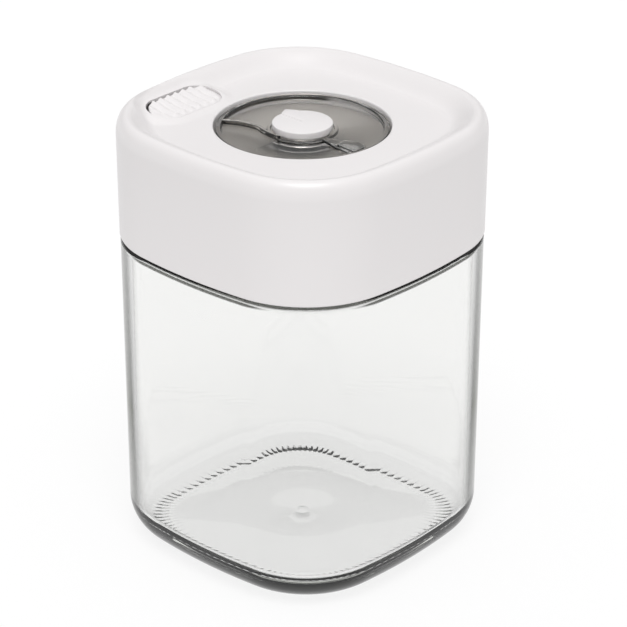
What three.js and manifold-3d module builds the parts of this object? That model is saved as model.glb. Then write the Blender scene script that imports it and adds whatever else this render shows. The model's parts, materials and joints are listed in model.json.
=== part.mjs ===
// A lidded glass canister for dry food.
//
// A rounded square glass jar stands under a tall moulded lid that is flush with the glass.
// A clear dial in a round well turns a spindle. The spindle's cross pin lifts a pressure
// plate by two ramps, and the plate squeezes a silicone gasket outwards against the inside
// of the glass neck. A ribbed push button beside the dial opens an air valve.
//
// Units are millimetres and +Z is up. The origin is the centre of the surface that the jar
// stands on. The object is drawn at rest: lid on, gasket relaxed, button up.

import * as THREE from 'three';
import { mergeVertices } from 'three/addons/utils/BufferGeometryUtils.js';
import Module from 'manifold-3d';

const wasm = await Module();
wasm.setup();

// ---------- driving dimensions ----------

const GAP = 0.3;                  // between pieces that touch

// Plan of the jar and the lid: a square with rounded corners and slightly bowed sides.
const HALF_WIDTH = 50;
const CORNER_RADIUS = 32;
const BOW_RADIUS = 185;
const CORNER_STEPS = 6;
const SIDE_STEPS = 4;

const ROUND_STEPS = 40;           // facets of a large round piece
const SMALL_STEPS = 16;           // facets of a pin, a screw or a small hole

// Glass jar.
const JAR_SHOULDER = 102.6;
const NECK_TOP = 125;
const NECK_OUTER_INSET = 6;
const NECK_INNER_INSET = 9.2;
const WALL_INNER_INSET = 4.2;
const JAR_FLOOR = 8.3;
const HEEL_RADIUS = 13;

// Lid shell.
const SKIRT_BOTTOM = 103.2;
const LID_TOP = 142;
const SKIRT_WALL = 2.2;
const DISH_TOP = 137.4;
const DISH_UNDER = 135;
const WELL_RADIUS = 26.7;
const WELL_WALL = 2.2;
const WELL_LEDGE_RADIUS = 20;
const WELL_LEDGE_LOW = 129.6;
const WELL_LEDGE_TOP = 131.2;
const POST_PLACE = 24;
const POSTS = [
  [POST_PLACE, POST_PLACE],
  [-POST_PLACE, POST_PLACE],
  [-POST_PLACE, -POST_PLACE],
  [POST_PLACE, -POST_PLACE],
];
const POST_RADIUS = 3.6;
const POST_BOTTOM = 113.8;
const PILOT_RADIUS = 1.5;

// Push button of the air valve, and the raised platform it sits in.
const BUTTON_X = -36.2;
const BUTTON_Y = -14;
const BUTTON_LENGTH = 26.2;
const BUTTON_WIDTH = 12.2;
const BUTTON_OUTER_GAP = 1;
const BUTTON_RIB_PITCH = 3.2;
const BUTTON_RIB_HEIGHT = 0.7;
const BUTTON_RIBS = 8;
const OPENING_LENGTH = 27.2;
const OPENING_WIDTH = 13.6;
const PLATFORM_TOP = 139;         // at the middle of the button
const PLATFORM_SLOPE = 0.118;     // it leans up towards the rim
const PLATFORM_MARGIN = 2.8;
const VALVE_X = -31;
const VALVE_Y = BUTTON_Y;
const STEM_RADIUS = 1.4;
const LEG_BOTTOM = 128;

// Plug body that hangs in the neck.
const PLUG_FLANGE_LOW = NECK_TOP + 2 * GAP + 1;
const PLUG_FLANGE_TOP = PLUG_FLANGE_LOW + 2;
const PLUG_FLANGE_INSET = 3.4;
const PLUG_WALL_INSET = 10.2;
const PLUG_WALL = 1.8;
const PLUG_FLOOR_LOW = 111;
const PLUG_FLOOR_TOP = 113.4;
const BOSS_RADIUS = 9;
const BOSS_TOP = 128;
const BUSH_BORE = 6;
const SEAL_BORE = 4.6;
const SEAL_BORE_TOP = 114.8;

// Dial, spindle and cross pin.
const DIAL_RADIUS = WELL_RADIUS - 0.4;
const DIAL_RIM = 1.9;
const DIAL_LOW = 132.7;
const DIAL_DECK = 135.5;
const DIAL_DECK_UNDER = 133.9;
const DIAL_RIM_TOP = 136.7;
const COLLAR_OUTER = 10.8;
const COLLAR_INNER = 9.7;
const COLLAR_TOP = 136.3;
const HUB_RADIUS = 8.2;
const CAP_RADIUS = 9.2;
const CAP_BEAK_REACH = 11.8;
const CAP_BEAK_ANGLE = THREE.MathUtils.degToRad(160);
const CAP_LOW = 136.4;
const CAP_TOP = 138;
const SPINDLE_RADIUS = 4;
const SPINDLE_BOTTOM = 96.6;
const SPINDLE_TOP = 133.9;
const SPINDLE_SQUARE = 7;
const SPINDLE_FLANGE_RADIUS = 8;
const SPINDLE_FLANGE_LOW = 129.3;
const SPINDLE_FLANGE_TOP = 130.6;
const PIN_RADIUS = 1.2;
const PIN_LENGTH = 19;
const PIN_Z = 99;
const SEAL_RING_Z = 112.9;

// Pressure plate: it rises by PLATE_RISE while the dial makes its quarter turn.
const PLATE_LOW = 101.5;
const PLATE_TOP = 104;
const PLATE_RISE = 2.5;
const RAMP_INNER = 5;
const RAMP_OUTER = 9.5;
const RAMP_STEP = THREE.MathUtils.degToRad(10);
const GUIDES = [26, -26];         // places of the guide pins along Y
const GUIDE_RADIUS = 2;
const GUIDE_BOTTOM = 100.5;
const COVER_RADIUS = 12;
const COVER_WALL = 1.5;
const COVER_LOW = 91.9;

// ---------- solids ----------

// A closed geometry becomes a solid, turned right side out if its faces point inwards.
function solidOf(geometry) {
  geometry.deleteAttribute('normal');
  geometry.deleteAttribute('uv');
  const merged = mergeVertices(geometry, 1e-4);
  const vertProperties = new Float32Array(merged.attributes.position.array);
  const triVerts = new Uint32Array(merged.index.array);
  if (signedVolume(vertProperties, triVerts) < 0) {
    for (let i = 0; i < triVerts.length; i += 3) {
      [triVerts[i + 1], triVerts[i + 2]] = [triVerts[i + 2], triVerts[i + 1]];
    }
  }
  return new wasm.Manifold(new wasm.Mesh({ numProp: 3, vertProperties, triVerts }));
}

function signedVolume(vertices, triangles) {
  const corner = (i) => new THREE.Vector3().fromArray(vertices, 3 * triangles[i]);
  let total = 0;
  for (let i = 0; i < triangles.length; i += 3) {
    total += corner(i).dot(corner(i + 1).cross(corner(i + 2)));
  }
  return total / 6;
}

function geometryOf(solid) {
  const mesh = solid.getMesh();
  const geometry = new THREE.BufferGeometry();
  geometry.setAttribute('position', new THREE.BufferAttribute(mesh.vertProperties, 3));
  geometry.setIndex(new THREE.BufferAttribute(mesh.triVerts, 1));
  geometry.computeVertexNormals();
  return geometry;
}

// Points of the plan outline with their outward normals, anticlockwise. An inset moves each
// point back along its normal, so every level of the jar and the lid shares the same arcs.
function planOutline() {
  const reach = BOW_RADIUS - HALF_WIDTH;
  const span = BOW_RADIUS - CORNER_RADIUS;
  const centre = (Math.sqrt(2 * span * span - reach * reach) - reach) / 2;
  const bowSweep = Math.atan2(centre, centre + reach);
  const cornerSweep = Math.PI / 2 - 2 * bowSweep;
  const points = [];
  const addPoint = (arcX, arcY, radius, angle, turn) => {
    const normal = new THREE.Vector2(Math.cos(angle + turn), Math.sin(angle + turn));
    const place = new THREE.Vector2(arcX, arcY).rotateAround(new THREE.Vector2(), turn);
    points.push({ place: place.addScaledVector(normal, radius), normal });
  };
  for (let side = 0; side < 4; side++) {
    const turn = side * Math.PI / 2;
    for (let i = 0; i < SIDE_STEPS; i++) {
      addPoint(-reach, 0, BOW_RADIUS, bowSweep * (2 * i / SIDE_STEPS - 1), turn);
    }
    for (let i = 0; i < CORNER_STEPS; i++) {
      addPoint(centre, centre, CORNER_RADIUS, bowSweep + cornerSweep * i / CORNER_STEPS, turn);
    }
  }
  return points;
}

const OUTLINE = planOutline();

// Sweeps a profile of [inset, z] points round the plan outline. The profile runs outwards
// along the bottom, up the outside and back along the top. Without axis heights it closes on
// itself as a ring; with them it starts and ends on the axis at those heights.
function squareSolid(profile, axisHeights = null) {
  const count = OUTLINE.length;
  const positions = [];
  const triangles = [];
  for (const [inset, z] of profile) {
    for (const { place, normal } of OUTLINE) {
      positions.push(place.x - inset * normal.x, place.y - inset * normal.y, z);
    }
  }
  const bands = axisHeights ? profile.length - 1 : profile.length;
  for (let band = 0; band < bands; band++) {
    const low = band * count;
    const high = ((band + 1) % profile.length) * count;
    for (let i = 0; i < count; i++) {
      const next = (i + 1) % count;
      triangles.push(low + i, low + next, high + next);
      triangles.push(low + i, high + next, high + i);
    }
  }
  if (axisHeights) {
    const bottomCentre = profile.length * count;
    const topCentre = bottomCentre + 1;
    const topRing = (profile.length - 1) * count;
    positions.push(0, 0, axisHeights[0], 0, 0, axisHeights[1]);
    for (let i = 0; i < count; i++) {
      const next = (i + 1) % count;
      triangles.push(bottomCentre, next, i);
      triangles.push(topCentre, topRing + i, topRing + next);
    }
  }
  const geometry = new THREE.BufferGeometry();
  geometry.setAttribute('position', new THREE.Float32BufferAttribute(positions, 3));
  geometry.setIndex(triangles);
  return solidOf(geometry);
}

// A profile of [radius, z] points turned about the Z axis through (x, y).
function turned(profile, steps = ROUND_STEPS, x = 0, y = 0) {
  const points = profile.map(([radius, z]) => new THREE.Vector2(radius, z));
  const onAxis = profile[0][0] === 0;
  if (!onAxis) {
    points.push(points[0].clone());
  }
  const geometry = new THREE.LatheGeometry(points, steps);
  geometry.rotateX(Math.PI / 2);
  geometry.translate(x, y, 0);
  return solidOf(geometry);
}

function cylinder(radius, low, high, steps = SMALL_STEPS, x = 0, y = 0) {
  return turned([[0, low], [radius, low], [radius, high], [0, high]], steps, x, y);
}

function washer(inner, outer, low, high, steps = ROUND_STEPS, x = 0, y = 0) {
  return turned([[inner, low], [outer, low], [outer, high], [inner, high]], steps, x, y);
}

function prism(shape, low, high) {
  const geometry = new THREE.ExtrudeGeometry(shape, {
    depth: high - low,
    bevelEnabled: false,
    curveSegments: 6,
  });
  geometry.translate(0, 0, low);
  return solidOf(geometry);
}

// A prism whose top leans with the platform, and is at the given height in the middle of it.
function leaningPrism(shape, low, high) {
  const cutter = new THREE.BoxGeometry(60, 60, 20);
  cutter.translate(0, 0, 10);
  cutter.rotateY(Math.atan(PLATFORM_SLOPE));
  cutter.translate(BUTTON_X, BUTTON_Y, high);
  return prism(shape, low, high + 5).subtract(solidOf(cutter));
}

// A rectangle with round ends or round corners, centred on (x, y).
function roundedRectangle(width, length, radius, x, y) {
  const right = x + width / 2;
  const top = y + length / 2;
  const left = x - width / 2;
  const bottom = y - length / 2;
  const shape = new THREE.Shape();
  shape.absarc(right - radius, bottom + radius, radius, -Math.PI / 2, 0);
  shape.absarc(right - radius, top - radius, radius, 0, Math.PI / 2);
  shape.absarc(left + radius, top - radius, radius, Math.PI / 2, Math.PI);
  shape.absarc(left + radius, bottom + radius, radius, Math.PI, 1.5 * Math.PI);
  shape.closePath();
  return shape;
}

class HelixCurve extends THREE.Curve {
  constructor(radius, low, high, turns, x, y) {
    super();
    Object.assign(this, { radius, low, high, turns, x, y });
  }

  getPoint(t, target = new THREE.Vector3()) {
    const angle = t * this.turns * 2 * Math.PI;
    const z = this.low + (this.high - this.low) * t;
    return target.set(
      this.x + this.radius * Math.cos(angle),
      this.y + this.radius * Math.sin(angle),
      z,
    );
  }
}

// A coil spring between two heights, with round wire.
function coilSpring(meanRadius, wireRadius, low, high, turns, x = 0, y = 0) {
  const section = new THREE.Shape();
  section.absarc(0, 0, wireRadius, 0, 2 * Math.PI);
  const path = new HelixCurve(meanRadius, low + wireRadius, high - wireRadius, turns, x, y);
  return solidOf(new THREE.ExtrudeGeometry(section, {
    steps: Math.round(12 * turns),
    curveSegments: 3,
    extrudePath: path,
  }));
}

// An even run of points along a quarter ellipse, from its side to its top.
function quarterEllipse(inset, z, across, up, steps) {
  return Array.from({ length: steps + 1 }, (_, i) => {
    const angle = i / steps * Math.PI / 2;
    return [inset + across * (1 - Math.cos(angle)), z + up * Math.sin(angle)];
  });
}

// ---------- jar ----------

function glassJar() {
  const outside = [
    [26, 1.4],
    [17.4, 0.6],
    [16.8, 0],
    [14.2, 0],
    ...quarterEllipse(1, HEEL_RADIUS, HEEL_RADIUS, 0.2 - HEEL_RADIUS, 6).reverse(),
    ...quarterEllipse(0.4, JAR_SHOULDER - 1.6, 1.6, 1.6, 2),
  ];
  const neck = [
    [3.2, JAR_SHOULDER],
    [NECK_OUTER_INSET - 0.4, JAR_SHOULDER + 1.8],
    [NECK_OUTER_INSET, JAR_SHOULDER + 2.8],
    [NECK_OUTER_INSET, NECK_TOP - 1.4],
    [NECK_OUTER_INSET + 0.5, NECK_TOP - 0.4],
    [NECK_OUTER_INSET + 1.6, NECK_TOP],
    [NECK_INNER_INSET - 0.5, NECK_TOP - 0.4],
    [NECK_INNER_INSET, NECK_TOP - 1.4],
    [NECK_INNER_INSET, JAR_SHOULDER + 0.6],
    [NECK_INNER_INSET - 1, JAR_SHOULDER - 0.7],
    [WALL_INNER_INSET + 1, JAR_SHOULDER - 1.8],
    [WALL_INNER_INSET, JAR_SHOULDER - 3],
  ];
  const inside = [
    [WALL_INNER_INSET, JAR_FLOOR + 5.9],
    [WALL_INNER_INSET + 0.8, JAR_FLOOR + 2.9],
    [WALL_INNER_INSET + 2.7, JAR_FLOOR + 0.8],
    [WALL_INNER_INSET + 5.8, JAR_FLOOR],
  ];
  return squareSolid([...outside, ...neck, ...inside], [1.6, JAR_FLOOR + 0.3]);
}

// ---------- lid ----------

function lidShell() {
  const underside = [
    [12.5, DISH_UNDER],
    [9.2, DISH_UNDER + 0.5],
    [6.4, DISH_UNDER + 2.4],
    [4.5, DISH_UNDER + 3.7],
    [3.1, DISH_UNDER + 3.3],
    [SKIRT_WALL, DISH_UNDER - 0.5],
    [SKIRT_WALL, SKIRT_BOTTOM],
  ];
  const outside = [
    [0.4, SKIRT_BOTTOM],
    [0, SKIRT_BOTTOM + 0.5],
    ...quarterEllipse(0, LID_TOP - 5, 3.3, 5, 4),
  ];
  const slope = [
    [5, LID_TOP - 0.7],
    [7, LID_TOP - 2.3],
    [9, DISH_TOP + 0.9],
    [11, DISH_TOP + 0.15],
    [13, DISH_TOP],
  ];
  const wellOuter = WELL_RADIUS + WELL_WALL;
  const platform = roundedRectangle(
    OPENING_WIDTH + 2 * PLATFORM_MARGIN,
    OPENING_LENGTH + 2 * PLATFORM_MARGIN,
    OPENING_WIDTH / 2 + PLATFORM_MARGIN,
    BUTTON_X,
    BUTTON_Y,
  );
  const opening = roundedRectangle(
    OPENING_WIDTH, OPENING_LENGTH, OPENING_WIDTH / 2, BUTTON_X, BUTTON_Y);
  let shell = squareSolid([...underside, ...outside, ...slope], [DISH_UNDER, DISH_TOP])
    .add(cylinder(wellOuter, WELL_LEDGE_LOW, DISH_UNDER + 1, ROUND_STEPS))
    .add(leaningPrism(platform, DISH_UNDER + 1, PLATFORM_TOP));
  for (const [x, y] of POSTS) {
    shell = shell.add(cylinder(POST_RADIUS, POST_BOTTOM, DISH_UNDER + 1, SMALL_STEPS, x, y));
  }
  for (const [x, y] of POSTS) {
    const pilotTop = POST_BOTTOM + 10;
    shell = shell.subtract(
      cylinder(PILOT_RADIUS, POST_BOTTOM - 1, pilotTop, SMALL_STEPS / 2, x, y));
  }
  return shell
    .subtract(prism(opening, DISH_UNDER - 2, LID_TOP))
    .subtract(cylinder(WELL_RADIUS, WELL_LEDGE_TOP, LID_TOP, ROUND_STEPS))
    .subtract(cylinder(WELL_LEDGE_RADIUS, WELL_LEDGE_LOW - 1, LID_TOP, ROUND_STEPS));
}

function wellPlate() {
  const low = WELL_LEDGE_TOP + GAP;
  return washer(6.5, WELL_RADIUS - 0.4, low, low + 0.8);
}

function plugBody() {
  const inner = PLUG_WALL_INSET + PLUG_WALL;
  const cup = squareSolid([
    [PLUG_WALL_INSET + 0.8, PLUG_FLOOR_LOW],
    [PLUG_WALL_INSET, PLUG_FLOOR_LOW + 0.8],
    [PLUG_WALL_INSET, PLUG_FLANGE_LOW],
    [PLUG_FLANGE_INSET, PLUG_FLANGE_LOW],
    [PLUG_FLANGE_INSET, PLUG_FLANGE_TOP],
    [inner, PLUG_FLANGE_TOP],
    [inner, PLUG_FLOOR_TOP],
  ], [PLUG_FLOOR_LOW, PLUG_FLOOR_TOP]);
  let plug = cup
    .add(cylinder(BOSS_RADIUS, PLUG_FLOOR_LOW + 1, BOSS_TOP, ROUND_STEPS / 2))
    .subtract(cylinder(SEAL_BORE, PLUG_FLOOR_LOW - 1, BOSS_TOP + 1))
    .subtract(cylinder(BUSH_BORE, SEAL_BORE_TOP, BOSS_TOP + 1));
  const holes = [...POSTS, [VALVE_X, VALVE_Y]];
  for (const [x, y] of holes) {
    plug = plug.subtract(
      cylinder(2, PLUG_FLOOR_LOW - 1, PLUG_FLOOR_TOP + 1, SMALL_STEPS / 2, x, y));
  }
  for (const y of GUIDES) {
    plug = plug.subtract(
      cylinder(GUIDE_RADIUS + GAP, PLUG_FLOOR_LOW - 1, PLUG_FLOOR_LOW + 1.4, SMALL_STEPS / 2, 0, y));
  }
  return plug;
}

function neckCushion() {
  const low = NECK_TOP + GAP;
  return squareSolid([[9, low], [6.4, low], [6.4, low + 1], [9, low + 1]]);
}

// The relaxed gasket: a soft ring with a slightly hollow back, so that it bulges outwards.
function jarGasket() {
  const low = PLATE_TOP + GAP;
  const high = PLUG_FLOOR_LOW - GAP;
  const middle = (low + high) / 2;
  return squareSolid([
    [13.4, low],
    [10.6, low],
    [10, low + 1],
    [9.8, middle],
    [10, high - 1],
    [10.6, high],
    [13.4, high],
    [12.9, middle],
  ]);
}

function plateSpring() {
  return coilSpring(10, 0.6, PLATE_TOP + GAP, PLUG_FLOOR_LOW - GAP, 2.5);
}

function spindleBush() {
  return washer(SPINDLE_RADIUS + GAP, BUSH_BORE - GAP, SEAL_BORE_TOP + GAP, BOSS_TOP, SMALL_STEPS);
}

function thrustWasher() {
  return washer(4.6, BOSS_RADIUS - 0.5, BOSS_TOP + GAP, SPINDLE_FLANGE_LOW - GAP, SMALL_STEPS);
}

function shellScrew([x, y]) {
  const headTop = PLUG_FLOOR_LOW - GAP;
  return cylinder(2.6, headTop - 1.4, headTop, SMALL_STEPS, x, y)
    .add(cylinder(1.2, headTop - 0.5, POST_BOTTOM + 8, SMALL_STEPS / 2, x, y));
}

function guidePin(y) {
  return cylinder(GUIDE_RADIUS, GUIDE_BOTTOM, PLUG_FLOOR_LOW + 1.1, SMALL_STEPS, 0, y);
}

// ---------- dial ----------

// A wall that follows a curve in plan, half as thick on either side of it.
function curvedWall(curve, thickness, steps) {
  const points = curve.getPoints(steps);
  const side = (sign) => points.map((point, i) => {
    const tangent = curve.getTangent(i / steps);
    return new THREE.Vector2(
      point.x - sign * tangent.y * thickness / 2,
      point.y + sign * tangent.x * thickness / 2,
    );
  });
  return new THREE.Shape([...side(1), ...side(-1).reverse()]);
}

function dialWheel() {
  const body = turned([
    [0, DIAL_LOW],
    [HUB_RADIUS, DIAL_LOW],
    [HUB_RADIUS, DIAL_DECK_UNDER],
    [DIAL_RADIUS - DIAL_RIM, DIAL_DECK_UNDER],
    [DIAL_RADIUS - DIAL_RIM, DIAL_LOW],
    [DIAL_RADIUS, DIAL_LOW],
    [DIAL_RADIUS, DIAL_RIM_TOP - 0.6],
    [DIAL_RADIUS - 0.5, DIAL_RIM_TOP],
    [DIAL_RADIUS - DIAL_RIM + 0.3, DIAL_RIM_TOP],
    [DIAL_RADIUS - DIAL_RIM, DIAL_RIM_TOP - 0.3],
    [DIAL_RADIUS - DIAL_RIM, DIAL_DECK],
    [COLLAR_OUTER, DIAL_DECK],
    [COLLAR_OUTER, COLLAR_TOP],
    [COLLAR_INNER, COLLAR_TOP],
    [COLLAR_INNER, DIAL_DECK],
    [0, DIAL_DECK],
  ]);
  const vane = new THREE.QuadraticBezierCurve(
    new THREE.Vector2(-5.4, -8.9), new THREE.Vector2(-15, -8.2), new THREE.Vector2(-21.8, -12.4));
  const tab = new THREE.Shape();
  tab.moveTo(COLLAR_OUTER - 0.6, -2.6);
  tab.lineTo(17, -4.3);
  tab.lineTo(24.9, -4.6);
  tab.lineTo(25.2, 0.6);
  tab.quadraticCurveTo(20, 4.6, 15, 0.7);
  tab.lineTo(COLLAR_OUTER - 0.6, -0.6);
  tab.closePath();
  const socket = new THREE.BoxGeometry(SPINDLE_SQUARE + 0.6, SPINDLE_SQUARE + 0.6, 2);
  socket.translate(0, 0, SPINDLE_TOP + GAP - 1);
  return body
    .add(prism(curvedWall(vane, 1.2, 8), DIAL_DECK - 0.5, DIAL_RIM_TOP))
    .add(prism(tab, DIAL_DECK - 0.5, COLLAR_TOP))
    .subtract(solidOf(socket))
    .subtract(cylinder(3.6, DIAL_DECK - 0.7, DIAL_DECK + 1))
    .subtract(cylinder(1.9, DIAL_LOW - 1, DIAL_DECK + 1, SMALL_STEPS / 2));
}

function dialCap() {
  const spread = THREE.MathUtils.degToRad(17);
  const shape = new THREE.Shape();
  shape.moveTo(
    CAP_BEAK_REACH * Math.cos(CAP_BEAK_ANGLE), CAP_BEAK_REACH * Math.sin(CAP_BEAK_ANGLE));
  for (let i = 0; i <= ROUND_STEPS; i++) {
    const angle = CAP_BEAK_ANGLE + spread + (2 * Math.PI - 2 * spread) * i / ROUND_STEPS;
    shape.lineTo(CAP_RADIUS * Math.cos(angle), CAP_RADIUS * Math.sin(angle));
  }
  shape.closePath();
  const rim = washer(7.9, 8.8, DIAL_DECK + GAP, CAP_LOW + 0.5, ROUND_STEPS / 2);
  return prism(shape, CAP_LOW, CAP_TOP).add(rim);
}

function dialScrew() {
  const headLow = DIAL_DECK - 0.7 + GAP;
  return cylinder(3, headLow, CAP_LOW - GAP)
    .add(cylinder(1.5, SPINDLE_TOP - 8, headLow + 0.3, SMALL_STEPS / 2));
}

function spindle() {
  const groove = SPINDLE_RADIUS - 1;
  const shaft = turned([
    [0, SPINDLE_BOTTOM],
    [SPINDLE_RADIUS - 0.6, SPINDLE_BOTTOM],
    [SPINDLE_RADIUS, SPINDLE_BOTTOM + 0.6],
    [SPINDLE_RADIUS, SEAL_RING_Z - 0.9],
    [groove, SEAL_RING_Z - 0.9],
    [groove, SEAL_RING_Z + 0.9],
    [SPINDLE_RADIUS, SEAL_RING_Z + 0.9],
    [SPINDLE_RADIUS, SPINDLE_FLANGE_LOW],
    [SPINDLE_FLANGE_RADIUS, SPINDLE_FLANGE_LOW],
    [SPINDLE_FLANGE_RADIUS, SPINDLE_FLANGE_TOP],
    [0, SPINDLE_FLANGE_TOP],
  ], SMALL_STEPS);
  const squareLength = SPINDLE_TOP - SPINDLE_FLANGE_TOP + 0.5;
  const square = new THREE.BoxGeometry(SPINDLE_SQUARE, SPINDLE_SQUARE, squareLength);
  square.translate(0, 0, SPINDLE_TOP - squareLength / 2);
  return shaft
    .add(solidOf(square))
    .subtract(cylinder(1.8, SPINDLE_TOP - 9, SPINDLE_TOP + 1, SMALL_STEPS / 2))
    .subtract(crossRod(PIN_RADIUS + GAP, 3 * SPINDLE_RADIUS));
}

// A rod along X through the spindle at the height of the cross pin.
function crossRod(radius, length) {
  const rod = new THREE.CylinderGeometry(radius, radius, length, SMALL_STEPS);
  rod.rotateZ(Math.PI / 2);
  rod.translate(0, 0, PIN_Z);
  return solidOf(rod);
}

function spindleSeal() {
  const ring = new THREE.TorusGeometry(3.75, 0.45, 8, SMALL_STEPS);
  ring.translate(0, 0, SEAL_RING_Z);
  return solidOf(ring);
}

// ---------- pressure plate ----------

// One helical ramp under the plate. It is 1 mm deep at the start angle and PLATE_RISE deeper
// a quarter turn on, and it runs a step past both ends so that the pin never leaves it.
function ramp(startAngle) {
  const steps = Math.round(Math.PI / 2 / RAMP_STEP) + 2;
  const positions = [];
  const triangles = [];
  const top = PLATE_LOW + 0.5;
  for (let i = 0; i <= steps; i++) {
    const travel = (i - 1) * RAMP_STEP;
    const angle = startAngle + travel;
    const bottom = PLATE_LOW - 1 - PLATE_RISE * Math.max(travel, 0) / (Math.PI / 2);
    const x = Math.cos(angle);
    const y = Math.sin(angle);
    positions.push(RAMP_INNER * x, RAMP_INNER * y, bottom, RAMP_OUTER * x, RAMP_OUTER * y, bottom);
    positions.push(RAMP_OUTER * x, RAMP_OUTER * y, top, RAMP_INNER * x, RAMP_INNER * y, top);
  }
  for (let i = 0; i < steps; i++) {
    for (let edge = 0; edge < 4; edge++) {
      const a = 4 * i + edge;
      const b = 4 * i + (edge + 1) % 4;
      triangles.push(a, b, b + 4, a, b + 4, a + 4);
    }
  }
  const last = 4 * steps;
  triangles.push(0, 2, 1, 0, 3, 2, last, last + 1, last + 2, last, last + 2, last + 3);
  const geometry = new THREE.BufferGeometry();
  geometry.setAttribute('position', new THREE.Float32BufferAttribute(positions, 3));
  geometry.setIndex(triangles);
  return solidOf(geometry);
}

function pressurePlate() {
  const inset = 10.2;
  let plate = squareSolid([
    [inset + 0.8, PLATE_LOW],
    [inset, PLATE_LOW + 0.8],
    [inset, PLATE_TOP],
  ], [PLATE_LOW, PLATE_TOP])
    .add(ramp(0))
    .add(ramp(Math.PI))
    .subtract(cylinder(SPINDLE_RADIUS + 0.5, PLATE_LOW - 5, PLATE_TOP + 1))
    .subtract(cylinder(3, PLATE_LOW - 1, PLATE_TOP + 1, SMALL_STEPS, VALVE_X, VALVE_Y));
  for (const y of GUIDES) {
    plate = plate.subtract(
      cylinder(GUIDE_RADIUS + 0.5, PLATE_LOW - 1, PLATE_TOP + 1, SMALL_STEPS, 0, y));
  }
  return plate;
}

function hubCover() {
  const inner = COVER_RADIUS - COVER_WALL;
  const top = PLATE_LOW - GAP;
  return turned([
    [0, COVER_LOW],
    [COVER_RADIUS - 2, COVER_LOW],
    [COVER_RADIUS, COVER_LOW + 2],
    [COVER_RADIUS, top],
    [inner, top],
    [inner, COVER_LOW + 2.4],
    [inner - 0.9, COVER_LOW + COVER_WALL],
    [0, COVER_LOW + COVER_WALL],
  ], ROUND_STEPS / 2);
}

// ---------- air valve ----------

function ventButton() {
  const middle = BUTTON_X + (BUTTON_WIDTH - OPENING_WIDTH) / 2 + BUTTON_OUTER_GAP;
  const top = roundedRectangle(
    BUTTON_WIDTH, BUTTON_LENGTH, BUTTON_WIDTH / 2, middle, BUTTON_Y);
  const flange = roundedRectangle(14.8, 28.8, 7.4, BUTTON_X, BUTTON_Y);
  const face = PLATFORM_TOP - 0.2;
  let button = leaningPrism(top, DISH_UNDER - 1, face)
    .add(prism(flange, DISH_UNDER - 2, DISH_UNDER - 0.5))
    .add(cylinder(4.2, LEG_BOTTOM, DISH_UNDER - 1, SMALL_STEPS, VALVE_X, VALVE_Y));
  const halfRun = (BUTTON_RIBS - 1) / 2;
  for (let i = 0; i < BUTTON_RIBS; i++) {
    const offset = (i - halfRun) * BUTTON_RIB_PITCH;
    const fromCurve = Math.max(Math.abs(offset) - (BUTTON_LENGTH - BUTTON_WIDTH) / 2, 0);
    const halfChord = Math.sqrt((BUTTON_WIDTH / 2) ** 2 - fromCurve ** 2);
    const rib = new THREE.BoxGeometry(2 * halfChord - 0.8, 1.5, BUTTON_RIB_HEIGHT + 0.5);
    rib.rotateY(Math.atan(PLATFORM_SLOPE));
    rib.translate(middle, BUTTON_Y + offset, face + (BUTTON_RIB_HEIGHT - 0.5) / 2);
    button = button.add(solidOf(rib));
  }
  return button.subtract(
    cylinder(STEM_RADIUS + GAP, LEG_BOTTOM - 1, 134.6, SMALL_STEPS / 2, VALVE_X, VALVE_Y));
}

function ventStem() {
  const poppetLow = PLUG_FLOOR_LOW - 2.4;
  return cylinder(4.2, poppetLow, poppetLow + 1.3, SMALL_STEPS, VALVE_X, VALVE_Y)
    .add(cylinder(STEM_RADIUS, poppetLow + 0.5, 134.2, SMALL_STEPS / 2, VALVE_X, VALVE_Y));
}

function ventSeal() {
  const low = PLUG_FLOOR_LOW - 0.8;
  return washer(STEM_RADIUS + GAP, 4.4, low, low + 0.5, SMALL_STEPS, VALVE_X, VALVE_Y);
}

function ventSpring() {
  return coilSpring(3.3, 0.4, PLUG_FLOOR_TOP + GAP, LEG_BOTTOM - GAP, 4, VALVE_X, VALVE_Y);
}

// ---------- assembly ----------

const FINISHES = {
  clearGlass: { color: 0xe9f1ee, roughness: 0.04, metalness: 0, transparent: true, opacity: 0.35 },
  clearPlastic: { color: 0xeef0ef, roughness: 0.08, metalness: 0, transparent: true, opacity: 0.4 },
  whitePlastic: { color: 0xf1f0ef, roughness: 0.42, metalness: 0 },
  greyMetal: { color: 0xa79f97, roughness: 0.34, metalness: 0.85 },
  silicone: { color: 0xe3e4e2, roughness: 0.62, metalness: 0 },
  steel: { color: 0xb9babb, roughness: 0.28, metalness: 1 },
  bearingPlastic: { color: 0xd8d6cf, roughness: 0.5, metalness: 0 },
};

const canister = new THREE.Group();
canister.name = 'lidded_glass_canister';

function addPart(name, solid, finish) {
  const mesh = new THREE.Mesh(
    geometryOf(solid), new THREE.MeshStandardMaterial({ ...FINISHES[finish] }));
  mesh.name = name;
  canister.add(mesh);
}

addPart('glass_jar', glassJar(), 'clearGlass');

addPart('lid_shell', lidShell(), 'whitePlastic');
addPart('well_plate', wellPlate(), 'greyMetal');
addPart('plug_body', plugBody(), 'whitePlastic');
addPart('neck_cushion', neckCushion(), 'silicone');
addPart('jar_gasket', jarGasket(), 'silicone');
addPart('plate_spring', plateSpring(), 'steel');
addPart('spindle_bush', spindleBush(), 'bearingPlastic');
addPart('thrust_washer', thrustWasher(), 'bearingPlastic');
POSTS.forEach((post, i) => addPart(`shell_screw_${i + 1}`, shellScrew(post), 'steel'));
GUIDES.forEach((y, i) => addPart(`guide_pin_${i + 1}`, guidePin(y), 'steel'));
addPart('vent_spring', ventSpring(), 'steel');

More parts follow.
